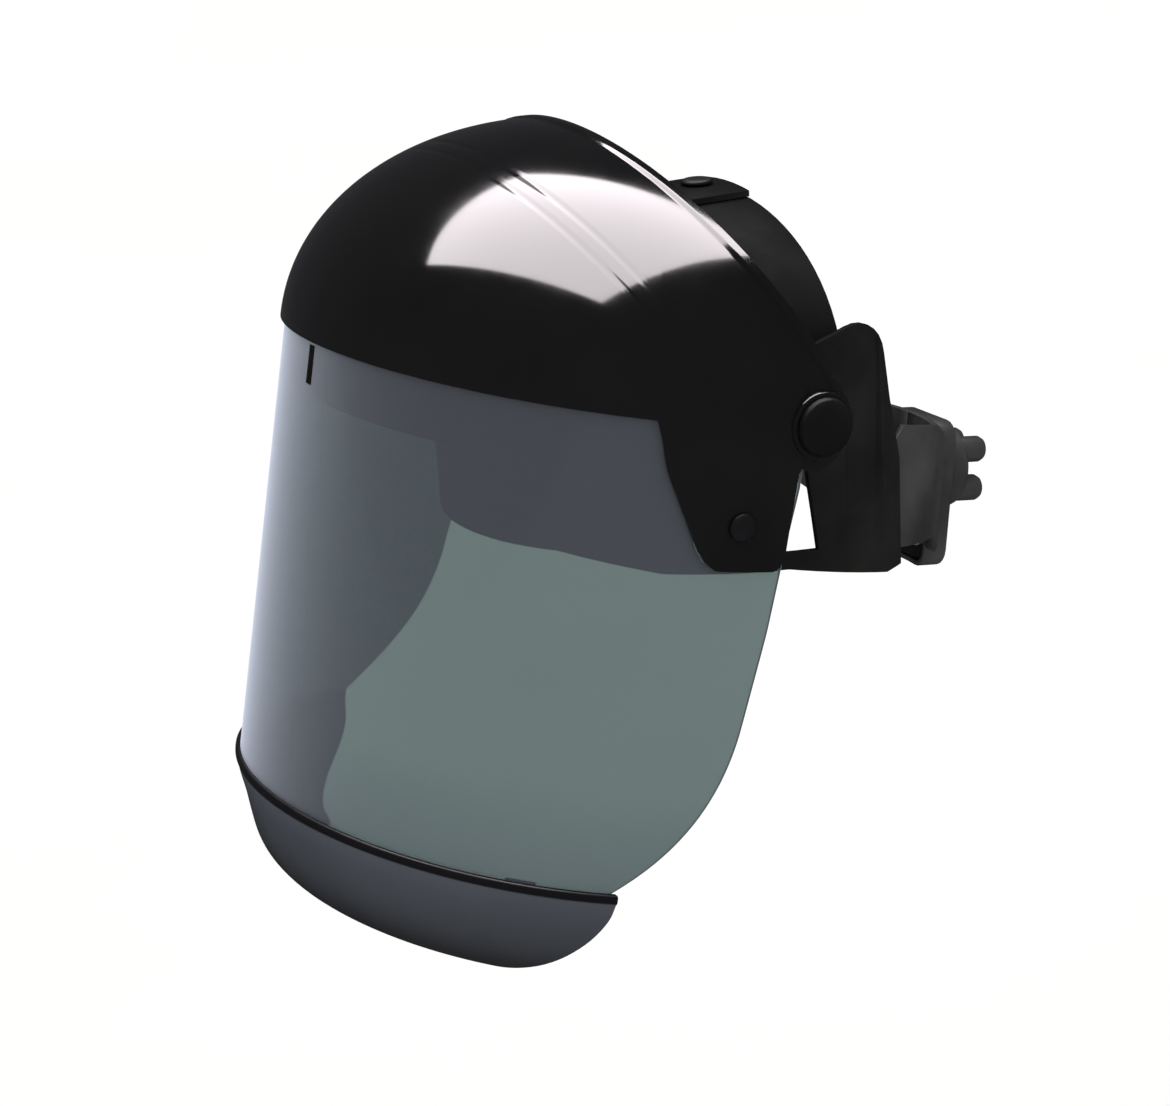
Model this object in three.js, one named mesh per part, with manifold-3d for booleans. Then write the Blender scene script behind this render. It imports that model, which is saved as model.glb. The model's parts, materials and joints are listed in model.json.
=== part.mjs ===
// Industrial face shield: domed crown, tinted wrap-round window and chin guard, hung on two side
// pivots from a ratchet headgear. Millimetres. +Z up, the wearer faces -Y, +X is the wearer's left.
// The origin is the middle of the headband ring.
import * as THREE from 'three';
import { mergeVertices } from 'three/addons/utils/BufferGeometryUtils.js';
import Module from 'manifold-3d';

const wasm = await Module();
wasm.setup();

// ---- driving dimensions -------------------------------------------------------------------
const FAR = 260;                 // reach of cutting prisms, beyond every part

// shield frame: its origin sits over the wearer's brow, and it leans so the chin comes forward
const SHIELD_Y = -41.6;
const SHIELD_Z = 24.4;
const LEAN = THREE.MathUtils.degToRad(12);

const WINDOW_W = 117.3;          // half width of the window's plan ellipse, outside
const WINDOW_D = 99.8;           // depth of that ellipse
const WINDOW_T = 1.6;
const BRIM_Z = 15.4;             // crown's lower edge, shield frame
const WINDOW_TOP = BRIM_Z + 4.6;
const WINDOW_BOTTOM = -141.6;
const WINDOW_STEPS = 52;         // facets round half of the plan

const CROWN_GAP = 0.9;           // crown wall stands off the window
const CROWN_T = 2.4;
const CROWN_H = 80;
const WING_Z = -30.5;            // lower end of the crown's side wings

const RAIL_T = 2.2;
const RAIL_Z0 = -4;
const RAIL_TOP = BRIM_Z + 5;
const RAIL_GAP = 0.5;

const GUARD_Z = -137.8;          // chin guard's rim, shield frame
const GUARD_GAP = 0.9;
const GUARD_T = 1.8;

// rear rim of the crown, shield frame: a point on it and its direction down towards the ear
const RIM = [-21.5, 94];
const RIM_DOWN = [0.62, -0.785];
const RIB_H = 0.9;
const RIB_W = 1.6;
const RIBS = [33.5, 39.7];       // distance of each rib ahead of the rim
const RIM_LIP = 3.2;

// studs through the wings, and clips on the window's edges
const STUD_Y = -2;
const STUD_Z = -16;
const STUD_R = 2.6;
const CHIN_CLIPS = [['front', 0], ['left', 58], ['right', -58]];
const CLIP_W = 10;
const CLIP_T = 1.4;
const CLIP_H = 3.4;

// pivots, world frame
const PIVOT_Y = -16;
const PIVOT_Z = 36;
const EAR_R = 15;
const EAR_BOSS_R = 11;
const EAR_BOSS_X0 = 111.5;
const EAR_BOSS_X1 = 120.4;
const PIN_R = 3.6;
const PIN_CLEAR = 0.35;
const PIN_HEAD_R = 9.5;
const WASHER_T = 1.4;
const WASHER_GAP = 0.3;
const POST_X0 = 84.3;            // foot of the pivot post on the headband
const POST_X1 = EAR_BOSS_X0 - WASHER_T - 2 * WASHER_GAP;
const POST_R = 9;
const POST_FOOT_R = 12.5;
const PIN_HEAD_T = 3;
const NUT_X = 75.2;

// headband ring, world frame
const BAND_X = 84;               // half width outside
const BAND_Y = 91;               // half length outside
const BAND_T = 2.4;
const BAND_TOP = 13;
const BAND_BOTTOM = -16;
const BAND_END_Y = 38;           // rear end of the side arms
const PAD_T = 5;
const BROW_PAD_TOP = 18;
const BROW_PAD_END = -34;
const STRAP_Y = 7;               // middle of the overhead strap
const STRAP_W = 22;
const STRAP_T = 2;
const STRAP_TOP = 92;
const STRAP_FOOT = 14;
const STRAP_LAP = 17;            // half length of the two strap halves' overlap

// rear yoke and ratchet
const YOKE_Y = 88.3;
const YOKE_Z = -24;              // height of the knob's centre line
const YOKE_LEAN = THREE.MathUtils.degToRad(8);
const LEAN_FROM = 25;            // the nape bands start to lean here
const HOUSING_W = 18;            // half width
const HOUSING_H = 27;            // half height
const HOUSING_DROP = 7.5;        // its middle hangs this far below the knob's centre line
const HOUSING_L = 7.5;
const HOUSING_CORNER = 7;
const WALL = 1.8;
const COVER_T = 1.4;
const SCREW_R = 1.5;
const SEAT_R = 5;
const SCREW_HEAD_R = 3;
const SCREW_SINK = 1;            // depth of the cover's counterbores
const SCREW_X = 12;
const HUB_R = 3.4;
const KNOB_GAP_Y = HOUSING_L + 0.6;
const KNOB_DISC_L = 9;
const KNOB_L = 18;               // over the finger lobes
const KNOB_R = 15;
const LOBE_R = 4.8;
const LOBES = 4;
const PINION_R = 5;
const PINION_TEETH = 12;

// ---- helpers ------------------------------------------------------------------------------
const shieldFrame = new THREE.Matrix4().makeTranslation(0, SHIELD_Y, SHIELD_Z)
  .multiply(new THREE.Matrix4().makeRotationX(-LEAN));

// a world (y, z) point in the shield's own frame
function inShield(y, z) {
  const p = new THREE.Vector3(0, y, z).applyMatrix4(shieldFrame.clone().invert());
  return [p.y, p.z];
}

function solidOf(geometry) {
  const bare = geometry.clone();
  bare.deleteAttribute('normal');
  bare.deleteAttribute('uv');
  const welded = mergeVertices(bare, 1e-4);
  return new wasm.Manifold(new wasm.Mesh({
    numProp: 3,
    vertProperties: new Float32Array(welded.attributes.position.array),
    triVerts: new Uint32Array(welded.index.array),
  }));
}

function geometryOf(solid) {
  const mesh = solid.getMesh();
  const geometry = new THREE.BufferGeometry();
  geometry.setAttribute('position', new THREE.BufferAttribute(mesh.vertProperties, 3));
  geometry.setIndex(new THREE.BufferAttribute(mesh.triVerts, 1));
  return geometry;
}

function shapeOf(points) {
  return new THREE.Shape(points.map(([a, b]) => new THREE.Vector2(a, b)));
}

// flat outline in X, Y lifted from z0 to z1
function slab(points, z0, z1) {
  const geometry = new THREE.ExtrudeGeometry(shapeOf(points), { depth: z1 - z0, bevelEnabled: false });
  return solidOf(geometry.translate(0, 0, z0));
}

// outline in Y, Z run along X from x0 to x1
function sideSlab(points, x0 = -FAR, x1 = FAR) {
  const geometry = new THREE.ExtrudeGeometry(shapeOf(points), { depth: x1 - x0, bevelEnabled: false });
  const turn = new THREE.Matrix4().makeBasis(
    new THREE.Vector3(0, 1, 0), new THREE.Vector3(0, 0, 1), new THREE.Vector3(1, 0, 0));
  return solidOf(geometry.applyMatrix4(turn).translate(x0, 0, 0));
}

// outline in X, Z run along Y from y0 to y1
function rearSlab(points, y0, y1) {
  const geometry = new THREE.ExtrudeGeometry(shapeOf(points), { depth: y1 - y0, bevelEnabled: false });
  const turn = new THREE.Matrix4().makeBasis(
    new THREE.Vector3(1, 0, 0), new THREE.Vector3(0, 0, 1), new THREE.Vector3(0, -1, 0));
  return solidOf(geometry.applyMatrix4(turn).translate(0, y1, 0));
}

function arc(cy, cz, r, fromDeg, toDeg, steps) {
  const points = [];
  for (let i = 0; i <= steps; i += 1) {
    const a = THREE.MathUtils.degToRad(fromDeg + (toDeg - fromDeg) * i / steps);
    points.push([cy + r * Math.cos(a), cz + r * Math.sin(a)]);
  }
  return points;
}

function ellipse(a, b, steps) {
  const points = [];
  for (let i = 0; i < steps; i += 1) {
    const t = 2 * Math.PI * i / steps;
    points.push([a * Math.cos(t), b * Math.sin(t)]);
  }
  return points;
}

// upright wall on an elliptical plan
function ringWall(a, b, t, z0, z1, steps) {
  return slab(ellipse(a, b, steps), z0, z1)
    .subtract(slab(ellipse(a - t, b - t, steps), z0 - 1, z1 + 1));
}

function rod(from, to, r, steps = 20) {
  const start = new THREE.Vector3(...from);
  const along = new THREE.Vector3(...to).sub(start);
  const geometry = new THREE.CylinderGeometry(r, r, along.length(), steps);
  geometry.translate(0, along.length() / 2, 0);
  const turn = new THREE.Quaternion().setFromUnitVectors(
    new THREE.Vector3(0, 1, 0), along.clone().normalize());
  geometry.applyQuaternion(turn).translate(start.x, start.y, start.z);
  return solidOf(geometry);
}

// solid of revolution about the line from `from` towards `to`; profile is [radius, distance along]
function turned(from, to, profile, steps = 20) {
  const start = new THREE.Vector3(...from);
  const along = new THREE.Vector3(...to).sub(start).normalize();
  const geometry = new THREE.LatheGeometry(profile.map(([r, d]) => new THREE.Vector2(r, d)), steps);
  const turn = new THREE.Quaternion().setFromUnitVectors(new THREE.Vector3(0, 1, 0), along);
  geometry.applyQuaternion(turn).translate(start.x, start.y, start.z);
  return solidOf(geometry);
}

function box(x0, x1, y0, y1, z0, z1) {
  return slab([[x0, y0], [x1, y0], [x1, y1], [x0, y1]], z0, z1);
}

function halfOf(solid, side) {
  return solid.intersect(side > 0 ? box(0.2, FAR, -FAR, FAR, -FAR, FAR)
    : box(-FAR, -0.2, -FAR, FAR, -FAR, FAR));
}

const group = new THREE.Group();

function add(name, solid, look, frame = null) {
  const geometry = geometryOf(solid);
  if (frame) geometry.applyMatrix4(frame);
  geometry.computeVertexNormals();
  const mesh = new THREE.Mesh(geometry, new THREE.MeshStandardMaterial(look));
  mesh.name = name;
  group.add(mesh);
}

const GLOSS_BLACK = { color: 0x0a0a0b, roughness: 0.16, metalness: 0 };
const SATIN_BLACK = { color: 0x141517, roughness: 0.42, metalness: 0 };
const GUARD_GREY = { color: 0x2c2e36, roughness: 0.38, metalness: 0 };
const TINT = { color: 0x5c6a6a, roughness: 0.06, metalness: 0 };
const FOAM = { color: 0x1b1c20, roughness: 0.95, metalness: 0 };
const NYLON = { color: 0x1e2126, roughness: 0.5, metalness: 0 };
const STEEL = { color: 0x8d9094, roughness: 0.3, metalness: 1 };
const SIDES = [['left', 1], ['right', -1]];

// ---- shield -------------------------------------------------------------------------------
const [pivotY, pivotZ] = inShield(PIVOT_Y, PIVOT_Z);

function domeShell(a, b, h, t) {
  const sphere = new THREE.SphereGeometry(1, 64, 32);
  sphere.rotateX(Math.PI / 2);
  const outer = solidOf(sphere.clone().scale(a, b, h).translate(0, 0, BRIM_Z));
  const inner = solidOf(sphere.clone().scale(a - t, b - t, h - t).translate(0, 0, BRIM_Z));
  return outer.subtract(inner).intersect(box(-FAR, FAR, -FAR, FAR, BRIM_Z, FAR));
}

function crownShell() {
  const a = WINDOW_W + CROWN_GAP + CROWN_T;
  const b = WINDOW_D + CROWN_GAP + CROWN_T;
  const skirt = ringWall(a, b, CROWN_T, WING_Z - 4, BRIM_Z, 64);
  // side view: rear rim runs straight up from the ear to the top, and a wing hangs below the brim
  const outline = [
    [-FAR, BRIM_Z], [-33, BRIM_Z], [-29, 2], [-27, -3], [-16, -24], [-9, WING_Z],
    [12, WING_Z], [16, WING_Z + 4], [16, -1],
    ...arc(pivotY, pivotZ, EAR_R, -75, 34, 8),
    RIM, [-43.3, 121.6], [-FAR, 121.6],
  ];
  let shell = domeShell(a, b, CROWN_H, CROWN_T).add(skirt).intersect(sideSlab(outline));
  for (const [, side] of SIDES) {
    const boss = rod(
      [side * EAR_BOSS_X0, pivotY, pivotZ], [side * EAR_BOSS_X1, pivotY, pivotZ], EAR_BOSS_R, 28);
    const hole = rod([side * 90, pivotY, pivotZ], [side * 130, pivotY, pivotZ], PIN_R + PIN_CLEAR, 24);
    shell = shell.add(boss).subtract(hole);
  }
  return shell.add(crownBands(a, b)).subtract(studHoles(WINDOW_W + CROWN_GAP + CROWN_T));
}

// a pair of low ribs over the dome and the thicker lip along its rear rim
function crownBands(a, b) {
  const skin = domeShell(a + RIB_H, b + RIB_H, CROWN_H + RIB_H, RIB_H + 1);
  const [dy, dz] = RIM_DOWN;
  const strip = (ahead, width, length) => {
    const along = (distance, forward) => [
      RIM[0] + distance * dy + forward * dz, RIM[1] + distance * dz - forward * dy];
    return sideSlab([
      along(-30, ahead), along(length, ahead), along(length, ahead + width), along(-30, ahead + width),
    ]);
  };
  let bands = strip(0, RIM_LIP, 62);
  for (const ahead of RIBS) bands = bands.add(strip(ahead, RIB_W, 52));
  return skin.intersect(bands);
}

function studHoles(reach) {
  let holes = null;
  for (const [, side] of SIDES) {
    const hole = rod(
      [side * (reach - 12), STUD_Y, STUD_Z], [side * (reach + 6), STUD_Y, STUD_Z], STUD_R + 0.4, 16);
    holes = holes ? holes.add(hole) : hole;
  }
  return holes;
}

function windowPane() {
  const wall = ringWall(WINDOW_W, WINDOW_D, WINDOW_T, WINDOW_BOTTOM, WINDOW_TOP, 2 * WINDOW_STEPS);
  const rear = new THREE.CubicBezierCurve(
    new THREE.Vector2(9, -84), new THREE.Vector2(4, -112),
    new THREE.Vector2(-14, -128), new THREE.Vector2(-32, WINDOW_BOTTOM));
  const outline = [
    [-FAR, WINDOW_TOP], [19.2, WINDOW_TOP], [19.1, -4], [16.7, -23], [14, -51],
    ...rear.getPoints(12).map((p) => [p.x, p.y]),
    [-FAR, WINDOW_BOTTOM],
  ];
  let pane = wall.intersect(sideSlab(outline));
  for (const [, side] of SIDES) {
    const relief = rod([side * 90, pivotY, pivotZ], [side * 130, pivotY, pivotZ], EAR_BOSS_R + 1.2, 28);
    pane = pane.subtract(relief);
  }
  return pane.subtract(studHoles(WINDOW_W));
}

function browRail() {
  const a = WINDOW_W - WINDOW_T - RAIL_GAP;
  const b = WINDOW_D - WINDOW_T - RAIL_GAP;
  const wall = ringWall(a, b, RAIL_T, RAIL_Z0, RAIL_TOP, 80);
  const lip = ringWall(a, b, 8, RAIL_TOP - 2, RAIL_TOP, 80);
  const front = sideSlab([[-FAR, RAIL_Z0], [-22, RAIL_Z0], [-12, BRIM_Z], [-12, RAIL_TOP], [-FAR, RAIL_TOP]]);
  return wall.add(lip).intersect(front);
}

function chinGuard() {
  const a = WINDOW_W + GUARD_GAP;
  const ratio = (WINDOW_D + GUARD_GAP) / a;
  // up the inside from the lip under the chin, over the rim and down the outside
  const profile = [
    [a - 32, -38.4], [a - 24, -37.4], [a - 15, -33.4], [a - 8.2, -26],
    [a - 2.6, -13], [a + GUARD_T, -3.4], [a + GUARD_T + 0.8, -2.6], [a + GUARD_T + 0.8, 0],
    [a, 0], [a, -3.4], [a - 4.4, -12.6], [a - 9.7, -24.6], [a - 15.9, -31.4], [a - 24.3, -35.3],
    [a - 32, -36.4], [a - 32, -38.4],
  ];
  const bowl = new THREE.LatheGeometry(profile.map(([r, z]) => new THREE.Vector2(r, z)), 88);
  bowl.rotateX(Math.PI / 2).scale(1, ratio, 1).translate(0, 0, GUARD_Z);
  const corner = new THREE.QuadraticBezierCurve(
    new THREE.Vector2(-26, GUARD_Z - 8), new THREE.Vector2(-27, GUARD_Z - 22),
    new THREE.Vector2(-50, GUARD_Z - 39));
  const outline = [
    [-FAR, GUARD_Z + 1], [-26, GUARD_Z + 1], ...corner.getPoints(9).map((p) => [p.x, p.y]),
    [-FAR, GUARD_Z - 44],
  ];
  return solidOf(bowl).intersect(sideSlab(outline));
}

add('crown_shell', crownShell(), GLOSS_BLACK, shieldFrame);
add('visor_window', windowPane(), TINT, shieldFrame);
add('brow_rail', browRail(), SATIN_BLACK, shieldFrame);
add('chin_guard', chinGuard(), GUARD_GREY, shieldFrame);

// spring clip gripping the window's top edge at the front
{
  const y = -WINDOW_D;
  const clip = sideSlab([
    [y - 0.4, BRIM_Z - 13], [y - 0.4, BRIM_Z - 1.5], [y - 1.8, BRIM_Z - 1.5], [y - 1.8, BRIM_Z - 14.4],
    [y - 0.4, BRIM_Z - 14.4],
  ], -2, 2);
  add('front_clip', clip, SATIN_BLACK, shieldFrame);
}

for (const [name, side] of SIDES) {
  const outside = WINDOW_W + CROWN_GAP + CROWN_T + 0.4;
  const stud = turned([side * (outside + 1.6), STUD_Y, STUD_Z], [0, STUD_Y, STUD_Z], [
    [0, 0], [3.6, 0], [4.6, 0.7], [4.6, 1.6], [STUD_R, 1.6], [STUD_R, 7.6], [0, 7.6],
  ], 18);
  add(`visor_stud_${name}`, stud, SATIN_BLACK, shieldFrame);
}

// low spring clips inside the window's lower edge, their feet turned under it into the guard
for (const [name, deg] of CHIN_CLIPS) {
  const t = THREE.MathUtils.degToRad(deg);
  const back = WINDOW_T + 0.6;
  const clip = sideSlab([
    [back, WINDOW_BOTTOM - 0.5], [back, WINDOW_BOTTOM + CLIP_H], [back + CLIP_T, WINDOW_BOTTOM + CLIP_H],
    [back + CLIP_T, WINDOW_BOTTOM - 0.5 - CLIP_T], [1, WINDOW_BOTTOM - 0.5 - CLIP_T],
    [1, WINDOW_BOTTOM - 0.5],
  ], -CLIP_W / 2, CLIP_W / 2);
  const normal = Math.atan2(Math.sin(t) / WINDOW_W, Math.cos(t) / WINDOW_D);
  const place = new THREE.Matrix4()
    .makeTranslation(WINDOW_W * Math.sin(t), -WINDOW_D * Math.cos(t), 0)
    .multiply(new THREE.Matrix4().makeRotationZ(normal));
  add(`chin_clip_${name}`, clip, SATIN_BLACK, shieldFrame.clone().multiply(place));
}

for (const [name, side] of SIDES) {
  const x = EAR_BOSS_X0 - WASHER_GAP;
  const disc = rod(
    [side * (x - WASHER_T), PIVOT_Y, PIVOT_Z], [side * x, PIVOT_Y, PIVOT_Z], EAR_BOSS_R - 1.5, 28);
  const bore = rod([side * 90, PIVOT_Y, PIVOT_Z], [side * 130, PIVOT_Y, PIVOT_Z], PIN_R + PIN_CLEAR, 24);
  const washer = disc.subtract(bore);
  add(`pivot_washer_${name}`, washer, NYLON);
}

// ---- headgear -----------------------------------------------------------------------------
function headband() {
  const wall = ringWall(BAND_X, BAND_Y, BAND_T, -60, 60, 96);
  // side view: forehead band, side arms with a pivot ear and a rounded bracket for the strap
  const outline = [
    [-FAR, BAND_BOTTOM + 6], [-76, BAND_BOTTOM + 4], [-50, BAND_BOTTOM - 3], [-10, BAND_BOTTOM - 6],
    [BAND_END_Y - 8, BAND_BOTTOM - 16], [BAND_END_Y - 1, BAND_BOTTOM - 15], [BAND_END_Y, 6],
    [BAND_END_Y - 4, 28], ...arc(BAND_END_Y - 19, 43, 13, 5, 105, 7),
    [-2, 51], ...arc(PIVOT_Y, PIVOT_Z, 13, 60, 180, 8),
    [-36, 22], [-56, BAND_TOP], [-FAR, BAND_TOP],
  ];
  let band = wall.intersect(sideSlab(outline));
  // see-through window ahead of each arm, and the slot that the strap's height peg rides in
  band = band.subtract(sideSlab([[-30, -14.5], [1, -17], [-2, 11], [-26, 13]]));
  band = band.subtract(sideSlab([[0, 27], [14, 26], [14, 29], [0, 30]]));
  for (const [, side] of SIDES) {
    const socket = rod([side * 70, PIVOT_Y, PIVOT_Z], [side * 95, PIVOT_Y, PIVOT_Z], PIN_R + PIN_CLEAR, 24);
    band = band.subtract(socket);
  }
  return band;
}

add('headband', headband(), NYLON);

{
  const inset = BAND_T + 0.6;
  const pad = ringWall(BAND_X - inset, BAND_Y - inset, PAD_T, BAND_BOTTOM + 5, BROW_PAD_TOP, 72)
    .intersect(sideSlab([[-FAR, -60], [BROW_PAD_END, -60], [BROW_PAD_END, 60], [-FAR, 60]]));
  add('brow_pad', pad, FOAM);
}

for (const [name, side] of SIDES) {
  const sleeve = turned([side * POST_X0, PIVOT_Y, PIVOT_Z], [side * FAR, PIVOT_Y, PIVOT_Z], [
    [PIN_R + PIN_CLEAR, 0], [POST_FOOT_R, 0], [POST_FOOT_R, 2], [POST_R, 5], [POST_R, POST_X1 - POST_X0],
    [PIN_R + PIN_CLEAR, POST_X1 - POST_X0], [PIN_R + PIN_CLEAR, 0],
  ], 28);
  add(`pivot_post_${name}`, sleeve, NYLON);
  const headX = EAR_BOSS_X1 + 0.3 + PIN_HEAD_T;
  const pinL = headX - NUT_X + 0.6;
  const pin = turned([side * headX, PIVOT_Y, PIVOT_Z], [0, PIVOT_Y, PIVOT_Z], [
    [0, 0], [PIN_HEAD_R - 3, 0], [PIN_HEAD_R - 0.6, 0.9], [PIN_HEAD_R, 2.2], [PIN_HEAD_R, PIN_HEAD_T],
    [PIN_R, PIN_HEAD_T], [PIN_R, pinL], [0, pinL],
  ], 28);
  add(`pivot_pin_${name}`, pin, SATIN_BLACK);
  const nut = turned([side * NUT_X, PIVOT_Y, PIVOT_Z], [side * FAR, PIVOT_Y, PIVOT_Z], [
    [0, 0], [7, 0], [8, 0.8], [8, 2.4], [0, 2.4],
  ], 6).subtract(rod([side * 70, PIVOT_Y, PIVOT_Z], [side * 80, PIVOT_Y, PIVOT_Z], PIN_R + PIN_CLEAR, 24));
  add(`pivot_nut_${name}`, nut, STEEL);
}

// overhead strap: two half arches that overlap at the top, joined by a button
function strapArch(a, top, t) {
  const outer = [];
  const inner = [];
  const rise = top - STRAP_FOOT;
  for (let i = 0; i <= 40; i += 1) {
    const angle = Math.PI * i / 40;
    const lift = Math.sin(angle) ** 0.66;
    outer.push([a * Math.cos(angle), STRAP_FOOT + rise * lift]);
    inner.push([(a - t) * Math.cos(angle), STRAP_FOOT + (rise - t) * lift]);
  }
  return [...outer, ...inner.reverse()];
}

{
  const footX = BAND_X - BAND_T - 3.6;
  const y0 = STRAP_Y - STRAP_W / 2;
  const y1 = STRAP_Y + STRAP_W / 2;
  const low = rearSlab(strapArch(footX, STRAP_TOP - STRAP_T - 0.5, STRAP_T), y0, y1);
  const high = rearSlab(strapArch(footX + 0.1, STRAP_TOP, STRAP_T), y0, y1);
  const button = rod([0, STRAP_Y, 60], [0, STRAP_Y, 120], 3.2, 16);
  const left = low.intersect(box(-STRAP_LAP, FAR, -FAR, FAR, -FAR, FAR)).subtract(button);
  const right = high.intersect(box(-FAR, STRAP_LAP, -FAR, FAR, -FAR, FAR)).subtract(button);
  add('strap_left', left, NYLON);
  add('strap_right', right, NYLON);
  const peg = turned([0, STRAP_Y, STRAP_TOP + 2], [0, STRAP_Y, -FAR], [
    [0, 0], [4.6, 0], [5.6, 0.8], [5.6, 1.6], [2.8, 1.6], [2.8, 7.2], [4.4, 7.2], [4, 8.6], [0, 8.6],
  ], 18);
  add('strap_button', peg, SATIN_BLACK);
}

// ---- rear yoke and ratchet ------------------------------------------------------------------
// yoke frame: origin on the knob's centre line at the band, leaning so the top goes rearward
const yokeFrame = new THREE.Matrix4().makeTranslation(0, YOKE_Y, YOKE_Z)
  .multiply(new THREE.Matrix4().makeRotationX(-YOKE_LEAN));

// lean an upright wall as the yoke leans, more and more towards the back of the head
function leanBack(solid) {
  const geometry = geometryOf(solid);
  const at = geometry.attributes.position;
  for (let i = 0; i < at.count; i += 1) {
    const share = THREE.MathUtils.smoothstep(at.getY(i), LEAN_FROM, YOKE_Y - 3);
    at.setY(i, at.getY(i) + (at.getZ(i) - YOKE_Z) * Math.tan(YOKE_LEAN) * share);
  }
  return solidOf(geometry);
}

function napeBands() {
  const wall = ringWall(BAND_X - BAND_T - 0.7, BAND_Y - BAND_T - 0.7, 2, -90, 40, 96);
  const outline = [
    [22, -26], [22, 2], [30, 3], [42, 15], [62, 8], [76, -3], [FAR, -10],
    [FAR, -48], [80, -46], [64, -32], [40, -27],
  ];
  return leanBack(wall.intersect(sideSlab(outline)));
}

for (const [name, side] of SIDES) {
  add(`nape_band_${name}`, halfOf(napeBands(), side), NYLON);
}

{
  const inside = BAND_Y - BAND_T - 0.7 - 2 - 0.4;
  const pad = ringWall(BAND_X - 7, inside, 5, YOKE_Z - 22, YOKE_Z + 12, 72)
    .intersect(rearSlab([[-30, -90], [30, -90], [30, 20], [-30, 20]], 0, FAR));
  add('nape_pad', leanBack(pad), FOAM);
}

function roundedFace(w, h, corner) {
  const points = [];
  for (const [sx, sz, from] of [[1, 1, 0], [-1, 1, 90], [-1, -1, 180], [1, -1, 270]]) {
    points.push(...arc(sx * (w - corner), sz * (h - corner), corner, from, from + 90, 5));
  }
  return points;
}

function ratchetHousing() {
  // its cheeks reach forward to the band, which is an upright ellipse in this frame
  const bandPlan = slab(ellipse(BAND_X - BAND_T - 0.3, YOKE_Y, 96), -FAR, FAR).translate(0, -YOKE_Y, 0);
  const inside = roundedFace(HOUSING_W - WALL, HOUSING_H - WALL, HOUSING_CORNER - WALL);
  const shell = rearSlab(roundedFace(HOUSING_W, HOUSING_H, HOUSING_CORNER), -7, HOUSING_L)
    .subtract(rearSlab(inside, -9, HOUSING_L - WALL))
    .translate(0, 0, -HOUSING_DROP)
    .subtract(bandPlan);
  return shell.subtract(rod([0, -1, 0], [0, HOUSING_L + 1, 0], HUB_R + 0.4, 24));
}

function pinionGear() {
  const points = [];
  const tooth = [[0, PINION_R], [0.25, PINION_R + 1.6], [0.5, PINION_R + 1.6], [0.75, PINION_R]];
  for (let i = 0; i < PINION_TEETH; i += 1) {
    for (const [at, r] of tooth) {
      const a = 2 * Math.PI * (i + at) / PINION_TEETH;
      points.push([r * Math.cos(a), r * Math.sin(a)]);
    }
  }
  return rearSlab(points, COVER_T + 1.4, HOUSING_L - WALL - 0.5)
    .add(rod([0, HOUSING_L - WALL - 1, 0], [0, KNOB_GAP_Y - 0.4, 0], HUB_R, 24))
    .subtract(rod([0, -1, 0], [0, HOUSING_L + 9, 0], SCREW_R + 0.4, 16));
}

// thick disc with finger lobes standing on its rim, and a sunk seat for the screw
function knobBody() {
  const y = KNOB_GAP_Y;
  const face = y + KNOB_DISC_L;
  let knob = turned([0, y, 0], [0, FAR, 0], [
    [0, 0], [KNOB_R - 1.6, 0], [KNOB_R, 1.6], [KNOB_R, KNOB_DISC_L - 1.6], [KNOB_R - 1.6, KNOB_DISC_L],
    [0, KNOB_DISC_L],
  ], 40);
  for (let i = 0; i < LOBES; i += 1) {
    const angle = Math.PI / 4 + 2 * Math.PI * i / LOBES;
    const x = (KNOB_R - LOBE_R) * Math.cos(angle);
    const z = (KNOB_R - LOBE_R) * Math.sin(angle);
    const reach = KNOB_L - KNOB_DISC_L + 2;
    const lobe = turned([x, face - 2, z], [x, FAR, z], [
      [0, 0], [LOBE_R, 0], [LOBE_R, reach - 2.2], [LOBE_R - 0.8, reach - 0.7], [LOBE_R - 2.2, reach],
      [0, reach],
    ], 20);
    knob = knob.add(lobe);
  }
  return knob
    .subtract(rod([0, face - 2, 0], [0, face + 2, 0], SEAT_R, 28))
    .subtract(rod([0, y - 1, 0], [0, y + KNOB_L, 0], SCREW_R + 0.4, 16));
}

function housingCover() {
  const face = roundedFace(HOUSING_W - WALL - 0.4, HOUSING_H - WALL - 0.4, HOUSING_CORNER - WALL - 0.4);
  const plate = rearSlab(face, 0.2, 0.2 + COVER_T).translate(0, 0, -HOUSING_DROP);
  let holes = rod([0, -1, 0], [0, 5, 0], SCREW_R + 1, 16);
  for (const [, side] of SIDES) {
    holes = holes.add(rod([side * SCREW_X, -1, 0], [side * SCREW_X, 5, 0], SCREW_R + 0.4, 16))
      .add(rod([side * SCREW_X, -1, 0], [side * SCREW_X, SCREW_SINK, 0], SCREW_HEAD_R + 0.4, 16));
  }
  return plate.subtract(holes);
}

// leaf spring whose bent nose rests between two pinion teeth
function detentSpring() {
  const nose = PINION_R + 2.2;
  return rearSlab([
    [-15, nose + 4], [-4, nose + 1.2], [0, nose - 0.1], [4, nose + 1.2], [15, nose + 4],
    [15, nose + 4.6], [4, nose + 1.8], [0, nose + 0.5], [-4, nose + 1.8], [-15, nose + 4.6],
  ], COVER_T + 2, HOUSING_L - WALL - 1);
}

add('ratchet_housing', ratchetHousing(), SATIN_BLACK, yokeFrame);
add('housing_cover', housingCover(), NYLON, yokeFrame);
add('detent_spring', detentSpring(), STEEL, yokeFrame);
add('pinion', pinionGear(), NYLON, yokeFrame);
add('ratchet_knob', knobBody(), SATIN_BLACK, yokeFrame);

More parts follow.
